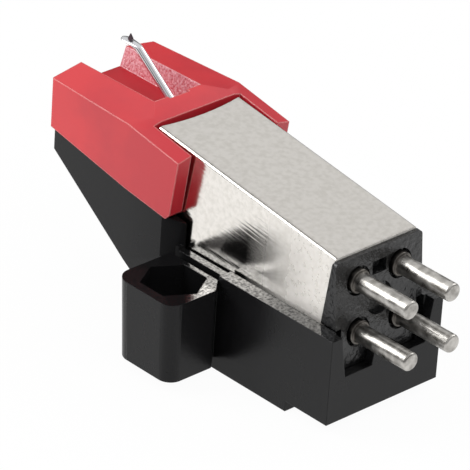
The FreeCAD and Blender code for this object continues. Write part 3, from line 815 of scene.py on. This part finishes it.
tip_low, tip_high = (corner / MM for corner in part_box("stylus_tip"))
tip_length = tip_high.z - tip_low.z
shoulder = paddle_high.z - tip_low.z
tip_profile = [
    (0, TIP_SHANK_R),
    (shoulder, TIP_SHANK_R),
    (shoulder, TIP_SHOULDER_R),
    (shoulder + TIP_SHOULDER, TIP_R),
    (tip_length - TIP_POINT, TIP_CONE_END_R),
    (tip_length, TIP_POINT_R),
]
tip_base = Vector((0, (tip_low.y + tip_high.y) / 2, tip_low.z))
tip = turned("jewel_tip", tip_base, (0, 0, 1), tip_profile, [ground_jewel()], around=24)
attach(tip, "needle")
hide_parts("stylus_tip")

# Floor: a plain white sheet just under the part, which takes its shadow.
# It shows nearly white to the camera, and a little greyer where the part mirrors it.
FLOOR_DROP_MM = 0.02
FLOOR_HALF = 0.6
FLOOR_WHITE = "#f2f2f2"
FLOOR_GLOW = 0.96
FLOOR_MIRRORED = 0.82


# White paper: lit like any sheet, with a glow of its own for what the camera and the mirrors see.
def white_floor():
    material, tree = empty_material("white_floor")
    ray = add(tree, "LightPath")
    mirrored = add(tree, "Math", {
        0: ray.outputs["Is Glossy Ray"], 1: ray.outputs["Is Transmission Ray"],
    }, operation="MAXIMUM")
    softer = add(tree, "Math", {0: mirrored.outputs[0], 1: FLOOR_MIRRORED}, operation="MULTIPLY")
    seen = add(tree, "Math", {0: ray.outputs["Is Camera Ray"], 1: FLOOR_GLOW}, operation="MULTIPLY")
    share = add(tree, "Math", {0: seen.outputs[0], 1: softer.outputs[0]}, operation="MAXIMUM")
    lit = add(tree, "BsdfDiffuse", {"Color": linear(FLOOR_WHITE)})
    glow = add(tree, "Emission", {"Color": (1, 1, 1, 1), "Strength": 1.0})
    mix = add(tree, "MixShader", {0: share.outputs[0], 1: lit.outputs[0], 2: glow.outputs[0]})
    add(tree, "OutputMaterial", {"Surface": mix.outputs[0]})
    return material


floor_z = -FLOOR_DROP_MM * MM
floor_signs = ((-1, -1), (1, -1), (1, 1), (-1, 1))
floor_corners = [(x * FLOOR_HALF, y * FLOOR_HALF, floor_z) for x, y in floor_signs]
floor_mesh = bpy.data.meshes.new("floor")
floor_mesh.from_pydata(floor_corners, [], [(0, 1, 2, 3)])
floor_mesh.materials.append(white_floor())
floor = bpy.data.objects.new("floor", floor_mesh)
bpy.context.scene.collection.objects.link(floor)

# Light: a white room and three softboxes: one to the side of the stylus end, one on the far side, and
# one overhead that isn't mirrored. In mirrors the room darkens towards the ground and near the camera.
ROOM_LIGHT = 0.55
ROOM_MIRRORED = 0.8
ROOM_LOW = 0.04
ROOM_LOW_Z = 0.2
ROOM_HIGH_Z = 0.5
CAMERA_SIDE = (0.61, 0.27, 0.745)
CAMERA_SIDE_FROM = 0.9
CAMERA_SIDE_FULL = 0.98
CAMERA_SIDE_SHARE = 0.5
LAMP_AIM_MM = (0, 0, 6)


def white_room():
    """A room that lights evenly, is white behind the part and has darker parts in mirrors."""
    world = bpy.data.worlds.new("white_room")
    world.use_nodes = True
    tree = world.node_tree
    tree.nodes.clear()
    ray = add(tree, "LightPath")
    place = add(tree, "TexCoord").outputs["Generated"]
    up = add(tree, "SeparateXYZ", {"Vector": place}).outputs["Z"]
    walls = add(tree, "MapRange", {
        "Value": up, "From Min": ROOM_LOW_Z, "From Max": ROOM_HIGH_Z,
        "To Min": ROOM_LOW, "To Max": ROOM_MIRRORED,
    })
    facing = add(tree, "VectorMath", {0: place, 1: CAMERA_SIDE}, operation="DOT_PRODUCT")
    dark = add(tree, "MapRange", {
        "Value": facing.outputs["Value"], "From Min": CAMERA_SIDE_FROM, "From Max": CAMERA_SIDE_FULL,
        "To Min": 1.0, "To Max": CAMERA_SIDE_SHARE,
    })
    sides = add(tree, "Math", {0: walls.outputs[0], 1: dark.outputs[0]}, operation="MULTIPLY")
    mirrored = add(tree, "Mix", {0: ray.outputs["Is Glossy Ray"], 2: ROOM_LIGHT, 3: sides.outputs[0]})
    seen = add(tree, "Mix", {0: ray.outputs["Is Camera Ray"], 2: mirrored.outputs[0], 3: 1.0})
    light = add(tree, "Background", {"Color": (1, 1, 1, 1), "Strength": seen.outputs[0]})
    add(tree, "OutputWorld", {"Surface": light.outputs[0]})
    bpy.context.scene.world = world


def softbox(name, place, size, radiance, mirrored=True):
    """A square lamp that faces the object, in metres; radiance is against 1 for white paper."""
    lamp = bpy.data.lights.new(name, "AREA")
    lamp.shape = "SQUARE"
    lamp.size = size
    lamp.energy = radiance * math.pi * size ** 2
    piece = bpy.data.objects.new(name, lamp)
    piece.location = place
    piece.rotation_mode = "QUATERNION"
    piece.rotation_quaternion = (Vector(LAMP_AIM_MM) * MM - Vector(place)).to_track_quat("-Z", "Y")
    piece.visible_glossy = mirrored
    bpy.context.scene.collection.objects.link(piece)


white_room()
softbox("side_softbox", place=(0.226, -0.228, 0.245), size=0.22, radiance=5.6)
softbox("overhead_softbox", place=(0.05, 0.25, 0.33), size=0.25, radiance=2.0, mirrored=False)
softbox("far_softbox", place=(-0.28, 0.05, 0.22), size=0.2, radiance=2.5)

# Camera: a long lens at the photograph's angle, slightly rolled.
# It looks down at the corner between the pins and one ear.
CAMERA_MM = (163.62, 162.83, 134.98)
CAMERA_AIM_MM = (0.847, -0.879, 6.41)
CAMERA_ROLL_DEG = 3.9
LENS_MM = 353.95
SENSOR_MM = 36.0
NEAREST = 0.01
lens = bpy.data.cameras.new("camera")
lens.sensor_width = SENSOR_MM
lens.lens = LENS_MM
lens.clip_start = NEAREST
camera = bpy.data.objects.new("camera", lens)
bpy.context.scene.collection.objects.link(camera)
camera.location = Vector(CAMERA_MM) * MM
camera.rotation_mode = "QUATERNION"
towards = (Vector(CAMERA_AIM_MM) - Vector(CAMERA_MM)).to_track_quat("-Z", "Y")
camera.rotation_quaternion = towards @ Quaternion((0, 0, 1), math.radians(CAMERA_ROLL_DEG))
bpy.context.scene.camera = camera
bpy.context.scene.view_settings.view_transform = "Standard"
